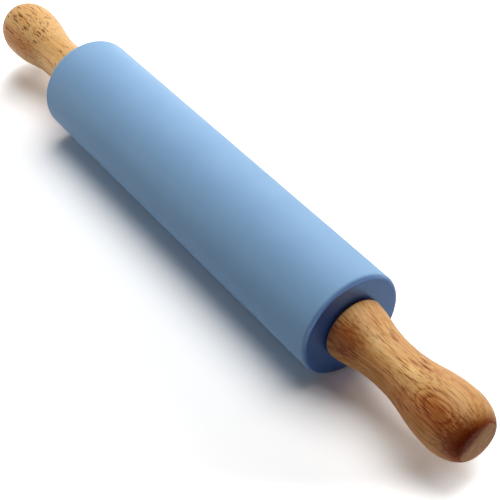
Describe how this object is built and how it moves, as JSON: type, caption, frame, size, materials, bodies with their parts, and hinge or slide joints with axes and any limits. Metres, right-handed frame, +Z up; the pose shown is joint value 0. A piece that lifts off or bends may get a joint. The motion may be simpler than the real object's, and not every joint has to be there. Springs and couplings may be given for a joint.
{
  "type": "rolling pin",
  "caption": "Silicone rolling pin: a soft blue sleeve on a wooden roller that spins freely on a steel rod between turned wooden handles.",
  "frame": {"origin": "on the table, under the middle of the roller", "axes": "+X along the rod towards the right handle, +Z up from the table, +Y away from the cook"},
  "size_m": [0.3774, 0.052, 0.052],
  "materials": {
    "silicone": "smooth satin-matte food-grade silicone",
    "handle_wood": "turned hardwood, oiled to a soft gloss, with open pores along the grain",
    "core_wood": "plain turned hardwood, unfinished",
    "nylon": "natural white moulded nylon",
    "steel": "bright zinc-plated steel",
    "brass": "machined brass"
  },
  "bodies": {
    "axle": {"axle_rod": "steel", "right_thrust_washer": "nylon", "left_thrust_washer": "nylon", "right_steel_washer": "steel", "left_steel_washer": "steel", "right_lock_nut": "steel", "left_lock_nut": "steel", "right_handle_insert": "brass", "left_handle_insert": "brass", "right_handle": "handle_wood", "left_handle": "handle_wood"},
    "roller": {"silicone_sleeve": "silicone", "roller_core": "core_wood", "right_bush": "nylon", "left_bush": "nylon"}
  },
  "joints": [
    {"name": "roller_spin", "type": "hinge", "parent": "axle", "child": "roller", "pos_m": [0, 0, 0.026], "axis": [1, 0, 0], "continuous": true}
  ]
}
